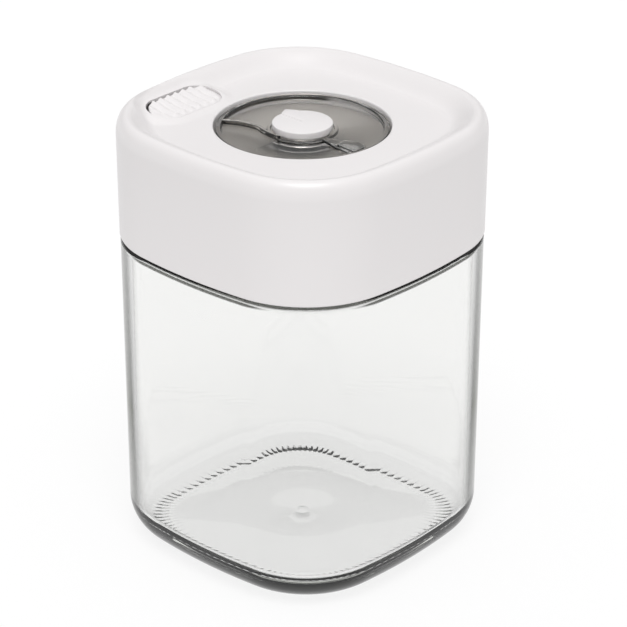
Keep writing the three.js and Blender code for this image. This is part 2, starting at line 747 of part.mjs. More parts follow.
addPart('dial_wheel', dialWheel(), 'clearPlastic');
addPart('dial_cap', dialCap(), 'whitePlastic');
addPart('dial_screw', dialScrew(), 'steel');
addPart('spindle', spindle(), 'whitePlastic');
addPart('cross_pin', crossRod(PIN_RADIUS, PIN_LENGTH), 'steel');
addPart('spindle_o_ring', spindleSeal(), 'silicone');

addPart('pressure_plate', pressurePlate(), 'whitePlastic');
addPart('hub_cover', hubCover(), 'whitePlastic');

addPart('vent_button', ventButton(), 'whitePlastic');
addPart('vent_stem', ventStem(), 'whitePlastic');
addPart('vent_seal', ventSeal(), 'silicone');

export default canister;
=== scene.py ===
# %% [markdown]
# A lidded glass canister, modelled in code
# The frame comes first. It holds the imported solids of the canister, and every piece made
# here takes its place from it. All sizes below are in millimetres, and MM turns them into
# Blender's metres.

# %% Frame
import json
import math

import bmesh
import bpy
from mathutils import Matrix, Vector


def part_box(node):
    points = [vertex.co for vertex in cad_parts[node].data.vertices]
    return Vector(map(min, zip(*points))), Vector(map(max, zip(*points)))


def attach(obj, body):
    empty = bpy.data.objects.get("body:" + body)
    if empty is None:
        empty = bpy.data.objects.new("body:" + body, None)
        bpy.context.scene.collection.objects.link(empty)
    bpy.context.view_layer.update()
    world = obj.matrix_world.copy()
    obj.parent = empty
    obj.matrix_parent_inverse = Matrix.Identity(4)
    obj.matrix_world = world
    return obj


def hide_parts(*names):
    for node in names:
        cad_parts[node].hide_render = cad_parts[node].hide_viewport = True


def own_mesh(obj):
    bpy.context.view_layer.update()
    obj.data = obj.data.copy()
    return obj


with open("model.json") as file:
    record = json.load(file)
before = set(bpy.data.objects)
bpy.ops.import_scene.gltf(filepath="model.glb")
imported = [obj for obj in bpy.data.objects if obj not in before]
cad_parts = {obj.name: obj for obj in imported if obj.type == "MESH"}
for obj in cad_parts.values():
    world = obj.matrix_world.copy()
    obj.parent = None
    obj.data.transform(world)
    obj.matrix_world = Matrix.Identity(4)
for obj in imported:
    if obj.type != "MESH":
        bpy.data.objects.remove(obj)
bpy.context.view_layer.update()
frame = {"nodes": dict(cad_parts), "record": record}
MM = 0.001


def node_box(name):
    """Lowest and highest corner of a CAD node, in millimetres."""
    low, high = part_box(name)
    return Vector(low) / MM, Vector(high) / MM


lid_low, lid_high = node_box("lid_shell")
jar_low, jar_high = node_box("glass_jar")
print("lid from", round(lid_low.z, 1), "to", round(lid_high.z, 1), "mm")

# %% [markdown]
# ## Camera
# A long lens from well above the lid keeps the upright edges nearly parallel. The camera is
# placed by its angle round the canister, its angle above the floor and its distance.

# %% Camera
AZIMUTH = math.radians(42.4)
ELEVATION = math.radians(26.3)
DISTANCE = 0.87
AIM = Vector((0, 0, 0.0739))


def direction_from(azimuth, elevation):
    """A direction from its angle round the canister and its angle above the floor."""
    return Vector((
        math.sin(azimuth) * math.cos(elevation),
        -math.cos(azimuth) * math.cos(elevation),
        math.sin(elevation),
    ))


back = direction_from(AZIMUTH, ELEVATION)
bpy.ops.object.camera_add(location=AIM + back * DISTANCE)
camera = bpy.context.object
camera.name = "studio_camera"
camera.rotation_euler = back.to_track_quat("Z", "Y").to_euler()
camera.data.lens = 160.8
camera.data.shift_x = 0.0176
bpy.context.scene.camera = camera
print("camera at", [round(value, 3) for value in camera.location])

# %% [markdown]
# ## Light
# A white floor and a soft sky light the canister from all round. The sky is bright overhead
# and grey near the horizon: clear things need something darker beside them, because their
# edges bend the horizon into the dark lines that draw them. A wide lamp, high up behind the
# camera, puts the highlight on the front of the lid's rim.

# %% Sky
SKY_STOPS = [
    (0.00, (0.95, 0.95, 0.95, 1)),
    (0.50, (0.38, 0.38, 0.38, 1)),
    (0.64, (0.42, 0.42, 0.42, 1)),
    (0.80, (0.74, 0.74, 0.74, 1)),
    (1.00, (0.78, 0.78, 0.78, 1)),
]

scene = bpy.context.scene
scene.view_settings.view_transform = "Standard"
world = bpy.data.worlds.new("studio_sky")
scene.world = world
world.use_nodes = True
sky = world.node_tree
direction = sky.nodes.new("ShaderNodeTexCoord")
split = sky.nodes.new("ShaderNodeSeparateXYZ")
half = sky.nodes.new("ShaderNodeMath")
half.operation = "MULTIPLY_ADD"
half.inputs[1].default_value = 0.5
half.inputs[2].default_value = 0.5
ramp = sky.nodes.new("ShaderNodeValToRGB")
stops = ramp.color_ramp.elements
while len(stops) < len(SKY_STOPS):
    stops.new(0.5)
for stop, (place, colour) in zip(stops, SKY_STOPS):
    stop.position = place
    stop.color = colour
sky.links.new(direction.outputs["Generated"], split.inputs[0])
sky.links.new(split.outputs["Z"], half.inputs[0])
sky.links.new(half.outputs[0], ramp.inputs["Fac"])
sky.links.new(ramp.outputs["Color"], sky.nodes["Background"].inputs["Color"])

# %% Lamp
LAMP_ELEVATION = math.radians(64)

to_lamp = direction_from(AZIMUTH, LAMP_ELEVATION)
bpy.ops.object.light_add(type="SUN", rotation=to_lamp.to_track_quat("Z", "Y").to_euler())
lamp = bpy.context.object
lamp.name = "studio_lamp"
lamp.data.energy = 1.7
lamp.data.angle = math.radians(30)

# %% Floor
bpy.ops.object.select_all(action="DESELECT")
bpy.ops.mesh.primitive_plane_add(size=12, location=(0, 0, -0.05 * MM))
floor = bpy.context.object
floor.name = "studio_floor"

# %% [markdown]
# A low black wall stands in a ring far round the canister. Only light that has passed through
# clear things meets it, so it gives the thick glass its dark edges and shades nothing else.

# %% Black wall
bpy.ops.mesh.primitive_cylinder_add(
    vertices=96, radius=0.75, depth=0.5, end_fill_type="NOTHING", location=(0, 0, 0.25))
black_wall = bpy.context.object
black_wall.name = "studio_black_wall"
black_wall.visible_camera = False
black_wall.visible_diffuse = False
black_wall.visible_glossy = False
black_wall.visible_shadow = False

# %% [markdown]
# ## A way to write materials
# A material is a small program made of nodes. These two classes let the sums be written as
# plain Python: `Signal` is the output of a node, and arithmetic on signals adds Math nodes.
# `Finish` is one material, and its `node` method adds any other node.

# %% Signal and Finish
class Signal:
    """One output socket. Arithmetic on it adds Math nodes to the same material."""

    def __init__(self, finish, socket):
        self.finish = finish
        self.socket = socket

    def math(self, operation, first, second):
        return self.finish.math(operation, first, second)

    def __add__(self, other):
        return self.math("ADD", self, other)

    def __radd__(self, other):
        return self.math("ADD", other, self)

    def __sub__(self, other):
        return self.math("SUBTRACT", self, other)

    def __rsub__(self, other):
        return self.math("SUBTRACT", other, self)

    def __mul__(self, other):
        return self.math("MULTIPLY", self, other)

    def __rmul__(self, other):
        return self.math("MULTIPLY", other, self)

    def __pow__(self, other):
        return self.math("POWER", self, other)


class Finish:
    """A material on the Principled shader. Fixed values go straight on its sockets."""

    def __init__(self, name, **fixed):
        self.material = bpy.data.materials.new(name)
        self.material.use_nodes = True
        self.tree = self.material.node_tree
        self.shader = self.tree.nodes["Principled BSDF"]
        for words, value in fixed.items():
            self.shader.inputs[words.replace("_", " ")].default_value = value

    def math(self, operation, first, second=0):
        return self.node("Math", {"operation": operation}, {0: first, 1: second})

    def node(self, kind, settings=None, inputs=None, output=0):
        """Adds a node, sets it up, joins its inputs and returns one of its outputs."""
        node = self.tree.nodes.new("ShaderNode" + kind)
        for key, value in (settings or {}).items():
            if key == "stops":
                self.set_stops(node.color_ramp.elements, value)
            else:
                setattr(node, key, value)
        for key, value in (inputs or {}).items():
            if isinstance(value, Signal):
                self.tree.links.new(value.socket, node.inputs[key])
            else:
                node.inputs[key].default_value = value
        return Signal(self, node.outputs[output])

    def set_stops(self, elements, stops):
        while len(elements) < len(stops):
            elements.new(0.5)
        for element, (place, colour) in zip(elements, stops):
            element.position = place
            element.color = colour

    def place(self, scale=(1, 1, 1)):
        """Object coordinates, stretched by a scale."""
        spot = self.node("TexCoord", output="Object")
        return self.node("Mapping", inputs={"Vector": spot, "Scale": scale})

    def noise(self, scale, detail=3, stretch=(1, 1, 1)):
        return self.node("TexNoise", inputs={
            "Vector": self.place(stretch), "Scale": scale, "Detail": detail})

    def part(self, vector, axis):
        """One of the three numbers of a vector."""
        return self.node("SeparateXYZ", inputs={0: vector}, output=axis)

    def size(self, value):
        """A number without its sign."""
        return self.math("ABSOLUTE", value)

    def rise(self, value, start, end, kind="LINEAR"):
        """0 up to start, 1 from end on."""
        return self.node("MapRange", {"interpolation_type": kind}, {
            "Value": value, "From Min": start, "From Max": end})

    def mix(self, amount, first, second):
        """A colour between two others."""
        return self.node("Mix", {"data_type": "RGBA"}, {0: amount, 6: first, 7: second}, output=2)

    def feed(self, **signals):
        for words, signal in signals.items():
            self.tree.links.new(signal.socket, self.shader.inputs[words.replace("_", " ")])

    def bump(self, height, distance, strength=1.0):
        """Tilts the surface by a height signal, as deep as distance in mm."""
        return self.node("Bump", inputs={
            "Height": height, "Distance": distance * MM, "Strength": strength})


# %% Floor finish
paper = Finish("studio_paper", Roughness=0.9, Specular_IOR_Level=0, Emission_Strength=0.85)
paper.shader.inputs["Emission Color"].default_value = (1, 1, 1, 1)
paper.feed(Base_Color=paper.mix(paper.noise(3), (0.13, 0.13, 0.13, 1), (0.14, 0.14, 0.14, 1)))
floor.data.materials.append(paper.material)

felt = Finish("black_felt", Roughness=1, Specular_IOR_Level=0)
felt.feed(Base_Color=felt.mix(felt.noise(300), (0.01, 0.01, 0.01, 1), (0.014, 0.014, 0.014, 1)))
black_wall.data.materials.append(felt.material)

# %% [markdown]
# ## Finishes of the canister
# Pressed glass is clear and bends light, and it is faintly green where it is thick, so the
# colour is in the volume and not on the surface. Its walls are never quite flat: a slow
# ripple bends what is seen through them.

# %% Pressed glass
glass = Finish("pressed_glass", Transmission_Weight=1, IOR=1.5, Roughness=0.0)
ripple = glass.noise(14, 1, (1, 1, 0.5))
glass.feed(Normal=glass.bump(ripple, 0.5, 0.2))

tint = glass.tree.nodes.new("ShaderNodeVolumeAbsorption")
tint.inputs["Color"].default_value = (0.57, 0.60, 0.50, 1)
tint.inputs["Density"].default_value = 5
glass.tree.links.new(tint.outputs[0], glass.tree.nodes["Material Output"].inputs["Volume"])

# %% [markdown]
# In a room a jar shows dark lines where it bends light from the dark side of the room. The
# bright surroundings here give too little of that, so the lines are painted: the upright
# edges, which are seen nearly edge on, the rounded heel, and the shoulder just under the lid,
# wider on the flat sides than at the corners. They are no colour of the glass itself. The edges
# follow the angle of view, and the heel and shoulder darken only where light enters the glass.

# %% Dark lines of the glass
EDGE_FACING = (0.5, 0.72)            # share turned away where the dark begins and is full
HEEL_HEIGHTS = (12 * MM, 9 * MM)
SHOULDER_LOW = (101.7 * MM, 102.1 * MM)
SHOULDER_HIGH = (103 * MM, 102.7 * MM)
FLAT_SIDE = (0.85, 0.99)             # how squarely a face looks along X or Y

spot = glass.node("TexCoord", output="Object")
face = glass.node("NewGeometry", output="Normal")
outward = 1 - 2 * glass.node("NewGeometry", output="Backfacing")
entering = 0.5 + 0.5 * outward
tilt = outward * glass.part(face, "Z")
upright = 1 - glass.size(tilt)

flat = glass.node("VectorMath", {"operation": "MULTIPLY"}, {0: spot, 1: (1, 1, 0)})
from_axis = glass.node("VectorMath", {"operation": "DOT_PRODUCT"}, {0: flat, 1: face}, "Value")
outer = glass.node("Clamp", inputs={"Value": 100 * outward * from_axis})
grazing = glass.node("LayerWeight", inputs={"Blend": 0.5}, output="Facing")
edge = (upright ** 2) * outer * glass.rise(grazing, *EDGE_FACING, "SMOOTHSTEP")

squareness = glass.math(
    "MAXIMUM", glass.size(glass.part(face, "X")), glass.size(glass.part(face, "Y")))
side = glass.rise(squareness, *FLAT_SIDE)
height = glass.part(spot, "Z")
low = glass.rise(height + 3 * MM * side, *HEEL_HEIGHTS)
heel = entering * low * glass.node("Clamp", inputs={"Value": -5 * tilt}) * (1 - tilt ** 8)

above = glass.rise(height + 1.1 * MM * side, *SHOULDER_LOW)
below = glass.rise(height, *SHOULDER_HIGH)
shoulder = 0.98 * entering * outer * above * below

dark = glass.math("MAXIMUM", edge, glass.math("MAXIMUM", heel, shoulder))
# The upright walls are painted a little grey as well: painted shade, not a tint of the glass.
clear_with_side_shade = glass.mix(upright, (1, 1, 1, 1), (0.95, 0.95, 0.945, 1))
glass.feed(Base_Color=glass.mix(dark, clear_with_side_shade, (0.0035, 0.0045, 0.0012, 1)))

# %% [markdown]
# The lid is moulded in white plastic with a satin face. A fine grain breaks up its gloss,
# and the colour drifts a little, as it does in thick mouldings.

# %% Moulded plastic
white = Finish("white_plastic", IOR=1.49)
drift = white.noise(18, 2)
grain = white.noise(2600, 2)
white.feed(
    Base_Color=white.mix(drift, (0.740, 0.718, 0.720, 1), (0.760, 0.738, 0.740, 1)),
    Roughness=0.26 + 0.1 * drift,
    Normal=white.bump(grain, 0.004),
)

# %% [markdown]
# The dial is one clear plastic. Its upright faces on the left carry painted shade, standing in
# for the dark that clear plastic bends in from a room, so that the thin vane and the rim show
# against the plate; the plastic itself isn't tinted. The pad on its tab is painted rougher.

# %% Clear plastic
PAD_CENTRE = (20.5 * MM, -0.8 * MM, 136.4 * MM)

clear = Finish("clear_plastic", Transmission_Weight=1, IOR=1.5)
flow = clear.noise(60, 2)
spot = clear.node("TexCoord", output="Object")
shaded_upright = 1 - clear.size(clear.part(clear.node("NewGeometry", output="Normal"), "Z"))
left = clear.rise(clear.part(spot, "X"), -9 * MM, -12 * MM)
from_pad = clear.node("VectorMath", {"operation": "DISTANCE"}, {0: spot, 1: PAD_CENTRE}, "Value")
pad = clear.rise(from_pad, 4.4 * MM, 3.4 * MM)
# Painted shade: the upright faces on the left are darkened.
clear.feed(
    Base_Color=clear.mix(shaded_upright * left, (0.98, 0.98, 0.97, 1), (0.2, 0.19, 0.18, 1)),
    Roughness=0.05 + 0.06 * flow + 0.35 * pad,
    Normal=clear.bump(flow, 0.02),
)

# %% Silicone and bearing plastic
silicone = Finish("silicone", IOR=1.41, Subsurface_Weight=0.3, Subsurface_Scale=0.002)
bloom = silicone.noise(300, 3)
silicone.feed(
    Base_Color=silicone.mix(bloom, (0.72, 0.73, 0.72, 1), (0.8, 0.8, 0.79, 1)),
    Roughness=0.5 + 0.2 * bloom,
    Normal=silicone.bump(bloom, 0.02),
)

acetal = Finish("bearing_plastic", IOR=1.48)
skin = acetal.noise(500, 2)
acetal.feed(
    Base_Color=acetal.mix(skin, (0.66, 0.65, 0.6, 1), (0.72, 0.71, 0.66, 1)),
    Roughness=0.4 + 0.15 * skin,
)

# %% [markdown]
# The plate in the well is satin metal. It was brushed while it turned, so the brushing runs
# in fine rings round its centre: the noise reads only the distance from the axis.

# %% Metals
plate_metal = Finish("satin_plate", Metallic=1)
spot = plate_metal.node("TexCoord", output="Object")
flat = plate_metal.node("VectorMath", {"operation": "MULTIPLY"}, {0: spot, 1: (1, 1, 0)})
radius = plate_metal.node("VectorMath", {"operation": "LENGTH"}, {0: flat}, output="Value")
rings = plate_metal.node(
    "TexNoise", {"noise_dimensions": "1D"}, {"W": radius, "Scale": 5200, "Detail": 3})
cloud = plate_metal.noise(40, 2)
plate_metal.feed(
    Base_Color=plate_metal.mix(
        0.5 * rings + 0.5 * cloud, (0.66, 0.62, 0.58, 1), (0.76, 0.715, 0.67, 1)),
    Roughness=0.3 + 0.14 * rings,
    Normal=plate_metal.bump(rings, 0.004),
)

steel = Finish("bright_steel", Metallic=1)
scratches = steel.noise(900, 3, (1, 1, 6))
steel.feed(
    Base_Color=steel.mix(scratches, (0.56, 0.56, 0.57, 1), (0.66, 0.66, 0.67, 1)),
    Roughness=0.22 + 0.16 * scratches,
)

FINISH_OF_SLOT = {
    "clear_glass": glass,
    "white_plastic": white,
    "clear_plastic": clear,
    "grey_metal": plate_metal,
    "silicone": silicone,
    "steel": steel,
    "bearing_plastic": acetal,
}
print("finishes:", ", ".join(FINISH_OF_SLOT))

# %% [markdown]
# The inner pieces that nobody sees keep their CAD shape, and get the finish of their slot.

# %% Finishes on the CAD nodes
slot_of = {row["node"]: row["material_slot"] for row in frame["record"]["subparts"]}
for name, node in frame["nodes"].items():
    node.data.materials.clear()
    node.data.materials.append(FINISH_OF_SLOT[slot_of[name]].material)

# %% [markdown]
# ## Drawing and spinning
# Nearly every piece is a section drawn as a line of points and then spun. A round piece is
# spun once about its axis. The canister's plan is a square with round corners and slightly
# bowed sides, which is eight arcs, so its pieces are spun eight times: about the far centre
# of each bowed side, then about the centre of each corner, and so on all the way round.

# %% The plan of the canister
HALF_WIDTH = lid_high.x
CORNER_RADIUS = 32
BOW_RADIUS = 185

bow_reach = BOW_RADIUS - HALF_WIDTH
arc_gap = BOW_RADIUS - CORNER_RADIUS
corner_centre = (math.sqrt(2 * arc_gap**2 - bow_reach**2) - bow_reach) / 2
bow_sweep = math.atan2(corner_centre, corner_centre + bow_reach)
print("corner centre at", round(corner_centre, 2), "mm")


def inset_at(x, y):
    """How far a point in plan lies inside the outline."""
    x, y = abs(x), abs(y)
    turn = math.atan2(y - corner_centre, x - corner_centre)
    if bow_sweep <= turn <= math.pi / 2 - bow_sweep:
        return CORNER_RADIUS - math.hypot(x - corner_centre, y - corner_centre)
    return BOW_RADIUS - max(math.hypot(x + bow_reach, y), math.hypot(x, y + bow_reach))


# %% Sections with round corners
def section(*corners, step=math.radians(15)):
    """Points of a line through corners (a, z). A third number rounds a corner."""
    points = []
    for i, corner in enumerate(corners):
        here = Vector(corner[:2])
        if len(corner) == 2:
            points.append(here)
            continue
        before = (Vector(corners[i - 1][:2]) - here).normalized()
        after = (Vector(corners[i + 1][:2]) - here).normalized()
        half_angle = before.angle(after) / 2
        centre = here + (before + after).normalized() * (corner[2] / math.sin(half_angle))
        start = here + before * (corner[2] / math.tan(half_angle)) - centre
        sweep = start.angle_signed(here + after * (corner[2] / math.tan(half_angle)) - centre)
        count = max(2, round(abs(sweep) / step))
        for k in range(count + 1):
            points.append(centre + Matrix.Rotation(-sweep * k / count, 2) @ start)
    return points


def quarter(start, end, count=8):
    """Points of a quarter ellipse that leaves start along a and reaches end along z."""
    start, end = Vector(start), Vector(end)
    return [
        Vector((
            start.x + (end.x - start.x) * math.sin(math.pi / 2 * k / count),
            start.y + (end.y - start.y) * (1 - math.cos(math.pi / 2 * k / count)),
        ))
        for k in range(count + 1)
    ]


# %% Drawing, spinning and closing
def draw(name, points):
    """A new piece, left in edit mode, that is one line through points in mm."""
    bpy.ops.object.select_all(action="DESELECT")
    bpy.ops.mesh.primitive_plane_add(size=MM)
    piece = bpy.context.object
    piece.name = piece.data.name = name
    bpy.ops.object.mode_set(mode="EDIT")
    bpy.ops.mesh.select_mode(type="VERT")
    bpy.ops.mesh.select_all(action="SELECT")
    bpy.ops.mesh.merge(type="CENTER")
    bpy.ops.transform.translate(value=points[0] * MM)
    for start, end in zip(points, points[1:]):
        step = (end - start) * MM
        bpy.ops.mesh.extrude_region_move(TRANSFORM_OT_translate={"value": step})
    bpy.ops.mesh.select_all(action="SELECT")
    return piece


def spin(angle, steps, centre):
    """Spins what is selected, anticlockwise seen from above."""
    bpy.ops.mesh.spin(
        steps=steps, angle=-angle, center=(centre[0] * MM, centre[1] * MM, 0), axis=(0, 0, 1))


def close_seam():
    bpy.ops.mesh.select_all(action="SELECT")
    bpy.ops.mesh.remove_doubles(threshold=0.002 * MM)
    bpy.ops.mesh.normals_make_consistent(inside=False)
    bpy.ops.object.mode_set(mode="OBJECT")


def turned(name, points, steps=96, centre=(0, 0)):
    """A round piece: a section of (radius, z) points spun about an upright axis."""
    piece = draw(name, [Vector((centre[0] + p.x, centre[1], p.y)) for p in points])
    spin(2 * math.pi, steps, centre)
    close_seam()
    return piece


def squared(name, points, steps=12):
    """A piece with the canister's plan: (inset, z) points spun along its eight arcs."""
    start = Matrix.Rotation(-bow_sweep, 2)
    line = []
    for p in points:
        place = start @ Vector((BOW_RADIUS - p.x, 0))
        line.append(Vector((place.x - bow_reach, place.y, p.y)))
    piece = draw(name, line)
    for side in range(4):
        turn = Matrix.Rotation(side * math.pi / 2, 2)
        spin(2 * bow_sweep, steps, turn @ Vector((-bow_reach, 0)))
        spin(math.pi / 2 - 2 * bow_sweep, steps, turn @ Vector((corner_centre, corner_centre)))
    close_seam()
    return piece


def join(name, *pieces):
    """Several pieces become one."""
    bpy.ops.object.select_all(action="DESELECT")
    for piece in pieces:
        piece.select_set(True)
    bpy.context.view_layer.objects.active = pieces[0]
    bpy.ops.object.join()
    pieces[0].name = pieces[0].data.name = name
    return pieces[0]


def bridge(piece, is_end, cuts=0):
    """Joins two open edge loops with faces. is_end picks them by their place in mm."""
    bpy.ops.object.select_all(action="DESELECT")
    piece.select_set(True)
    bpy.context.view_layer.objects.active = piece
    bpy.ops.object.mode_set(mode="EDIT")
    bpy.ops.mesh.select_mode(type="EDGE")
    bpy.ops.mesh.select_all(action="DESELECT")
    cage = bmesh.from_edit_mesh(piece.data)
    for edge in cage.edges:
        middle = (edge.verts[0].co + edge.verts[1].co) / 2 / MM
        edge.select_set(edge.is_boundary and is_end(middle))
    bmesh.update_edit_mesh(piece.data)
    bpy.ops.mesh.bridge_edge_loops(number_cuts=cuts)
    bpy.ops.mesh.select_mode(type="VERT")
    close_seam()


def stretched(add, size, centre, **shape):
    """A primitive one millimetre wide, stretched to its size and put in its place."""
    bpy.ops.object.select_all(action="DESELECT")
    add(size=MM, **shape)
    piece = bpy.context.object
    piece.scale = size
    piece.location = Vector(centre) * MM
    bpy.ops.object.transform_apply(location=True, rotation=True, scale=True)
    return piece


def modify(piece, kind, **settings):
    """Adds a modifier and applies it."""
    bpy.context.view_layer.objects.active = piece
    change = piece.modifiers.new(kind.lower(), kind)
    for key, value in settings.items():
        setattr(change, key, value)
    bpy.ops.object.modifier_apply(modifier=change.name)


def cut(piece, tool, operation="DIFFERENCE"):
    """A boolean with a tool that is then thrown away."""
    modify(piece, "BOOLEAN", object=tool, operation=operation, solver="EXACT")
    bpy.data.objects.remove(tool)


def smooth(piece, angle=35):
    bpy.ops.object.select_all(action="DESELECT")
    piece.select_set(True)
    bpy.context.view_layer.objects.active = piece
    bpy.ops.object.shade_smooth_by_angle(angle=math.radians(angle))


def install(piece, body, slot, *nodes):
    """The finished piece rides on its body and stands for its CAD nodes."""
    piece.data.materials.clear()
    piece.data.materials.append(FINISH_OF_SLOT[slot].material)
    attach(piece, body)
    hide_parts(*nodes)
    print(piece.name, len(piece.data.polygons), "faces")


# %% [markdown]
# ## Glass jar
# The jar is pressed and blown in one piece: a thick base with a rounded heel, even walls, a
# small shoulder under the lid and a neck inside it. It stands on a ring of short radial
# dashes, which keep the hot glass from sticking. The outside and the inside are one section.

# %% Jar walls
SHOULDER = 102.6
NECK_INSETS = (6, 9.2)
ARC_STEPS = 39                       # divides by three, for the dashes

jar_section = [
    *section((17.3, 0.75), (14.7, 0.55)),
    *quarter((13.3, 0.42), (1, 12.4), 16),
    *section((0.4, SHOULDER, 1.6), (3, SHOULDER, 0.8), (NECK_INSETS[0], 105.2, 1.2),
             (NECK_INSETS[0], jar_high.z, 1.5), (NECK_INSETS[1], jar_high.z, 1.5),
             (NECK_INSETS[1], 102.2, 1.5), (4.2, 100.6, 1.5), (4.2, 12.7)),
    *reversed(quarter((8.6, 8.35), (4.2, 12.6), 8)),
]
jar = squared("glass_jar_piece", jar_section, ARC_STEPS)
print("jar walls", len(jar.data.vertices), "points")

# %% [markdown]
# The middle of the base is turned: a low push-up with two faint mould rings below, and a
# gently domed floor above. Each is bridged to the square ring round it.

# %% Jar base
base_steps = 8 * ARC_STEPS
under = turned("jar_under", section(
    (28.5, 0.95), (27.9, 1.02), (16, 1.1), (2.6, 1.15), (2.3, 1.09), (2, 1.15), (0, 1.15)),
    base_steps)
above = turned("jar_above", section((28.5, 8.42), (15, 8.52), (0, 8.6)), base_steps)
jar = join("glass_jar_piece", jar, under, above)
bridge(jar, lambda p: p.z < 3)
bridge(jar, lambda p: p.z < 9)

# %% [markdown]
# The dashes are made by moving points: every third column of the ring comes down towards the
# floor, and the rest stay a little above it.

# %% Dashes under the jar
DASH_REACH = (9.8, 14.5)             # inset where a dash starts and ends
DASH_DEPTH = 0.42


def column_at(x, y):
    """Position round the outline, counted in columns of points."""
    for side in range(4):
        spot = Matrix.Rotation(-side * math.pi / 2, 2) @ Vector((x, y))
        bow = math.atan2(spot.y, spot.x + bow_reach)
        if abs(bow) <= bow_sweep and spot.x > 0:
            return (2 * side + (bow / bow_sweep + 1) / 2) * ARC_STEPS
        turn = math.atan2(spot.y - corner_centre, spot.x - corner_centre)
        if bow_sweep <= turn <= math.pi / 2 - bow_sweep:
            share = (turn - bow_sweep) / (math.pi / 2 - 2 * bow_sweep)
            return (2 * side + 1 + share) * ARC_STEPS
    return 0


for point in jar.data.vertices:
    place = point.co / MM
    inset = inset_at(place.x, place.y)
    if place.z < 2.5 and DASH_REACH[0] < inset < DASH_REACH[1]:
        if round(column_at(place.x, place.y)) % 3 == 0:
            point.co.z -= min(DASH_DEPTH, place.z) * MM
smooth(jar, 50)
install(jar, "jar", "clear_glass", "glass_jar")

# %% [markdown]
# ## Lid shell
# The lid is one tall moulding. Its skirt and rounded rim are spun from a section, the round
# well is turned, and the dish between them is bridged with many rings of points, so that
# its slope and the low platform round the button can be raised by a formula.

# %% Skirt and well
WELL_RADIUS = 26.9
WELL_FILLET = 0.54
DISH_START = WELL_RADIUS + WELL_FILLET + 0.01
DISH_TOP = 137.6
DISH_UNDER = 135
RIM_CREST = 3.3                      # inset of the highest line of the rim

skirt = squared("skirt", [
    *quarter((RIM_CREST, lid_high.z), (0, lid_high.z - 6), 12),
    *section((0, lid_low.z, 0.5), (2.2, lid_low.z, 0.4), (2.2, 138.9, 1.6), (4.7, 138.9, 1.4),
             (9.4, DISH_UNDER, 3), (12.5, DISH_UNDER)),
], ARC_STEPS)
well = turned("well", section(
    (DISH_START, DISH_TOP), (WELL_RADIUS, DISH_TOP, WELL_FILLET), (WELL_RADIUS, 131.2),
    (20, 131.2), (20, 129.6), (28.9, 129.6), (28.9, DISH_UNDER)), base_steps)
shell = join("lid_shell_piece", skirt, well)
bridge(shell, lambda p: p.z > 136, cuts=56)
bridge(shell, lambda p: p.z < 136)
print("shell", len(shell.data.polygons), "faces")

# %% Dish, slope and platform
BUTTON = Vector((-36.2, -14))
OPENING = (13.6, 27.2)
SLOPE_END = 11.8


def ease(value, start, end):
    """0 before start, 1 after end, and a smooth step between."""
    t = min(max((value - start) / (end - start), 0), 1)
    return t * t * (3 - 2 * t)


def stadium_distance(x, y, width, length):
    """Distance from a shape with round ends, centred on the button. Negative inside."""
    straight = (length - width) / 2
    along = max(abs(y - BUTTON.y) - straight, 0)
    return math.hypot(x - BUTTON.x, along) - width / 2


def platform_top(x):
    """The platform leans with the slope of the dish: higher on its outer side."""
    return 139 + 0.118 * (BUTTON.x - x)


def dish_height(x, y):
    """The slope of the dish, or the platform where that is nearer."""
    inset = inset_at(x, y)
    slope = DISH_TOP + (lid_high.z - DISH_TOP) * (1 - ease(inset, RIM_CREST, SLOPE_END))
    out = stadium_distance(x, y, *OPENING)
    return slope + (platform_top(x) - slope) * (1 - ease(out, 0.3, 4.4))


for point in shell.data.vertices:
    place = point.co / MM
    inset = inset_at(place.x, place.y)
    from_axis = math.hypot(place.x, place.y)
    if place.z > 136.2 and inset > RIM_CREST - 0.01 and from_axis > DISH_START + 0.01:
        near_well = ease(from_axis, DISH_START + 0.01, WELL_RADIUS + 1.6)
        height = dish_height(place.x, place.y)
        point.co.z = (DISH_TOP + (height - DISH_TOP) * near_well) * MM


# %% Opening for the button
def stadium(name, width, length, low, high, centre, steps=24):
    """A block with round ends, standing between two heights."""
    radius = width / 2
    straight = length - width
    end = Vector((centre[0], centre[1] + straight / 2))
    piece = draw(name, [Vector((end.x + radius, end.y, low))])
    spin(math.pi, steps, end)
    bpy.ops.mesh.extrude_region_move(TRANSFORM_OT_translate={"value": (0, -straight * MM, 0)})
    spin(math.pi, steps, (end.x, end.y - straight))
    raise_outline(high - low)
    return piece


def raise_outline(height):
    """Fills the outline in edit mode and extrudes it into a block."""
    bpy.ops.mesh.select_all(action="SELECT")
    bpy.ops.mesh.remove_doubles(threshold=0.002 * MM)
    bpy.ops.mesh.edge_face_add()
    bpy.ops.mesh.extrude_region_move(TRANSFORM_OT_translate={"value": (0, 0, height * MM)})
    close_seam()


cut(shell, stadium("opening", *OPENING, DISH_UNDER - 3, lid_high.z, BUTTON))
recess = stadium("recess", OPENING[0] + 3.4, OPENING[1] + 3.4, DISH_UNDER - 3, 139, BUTTON)
for point in recess.data.vertices:
    if point.co.z > 138 * MM:
        point.co.z = (platform_top(point.co.x / MM) - 1.1) * MM
cut(shell, recess)

# %% Screw posts under the lid
POST_PLACES = [(24, 24), (-24, 24), (-24, -24), (24, -24)]
for place in POST_PLACES:
    post = turned("post", section(
        (1.5, 123.8), (1.5, 113.8), (3.6, 113.8, 0.4), (3.6, 136), (0, 136), (0, 123.8),
        (1.5, 123.8)), 32, place)
    cut(shell, post, "UNION")
smooth(shell, 40)
install(shell, "lid", "white_plastic", "lid_shell")

# %% [markdown]
# ## Push button
# The button has round ends and cross ribs for the finger. Its top starts as a fine grid,
# whose points are lifted into ribs by a wave. A block with round ends then cuts it to shape.

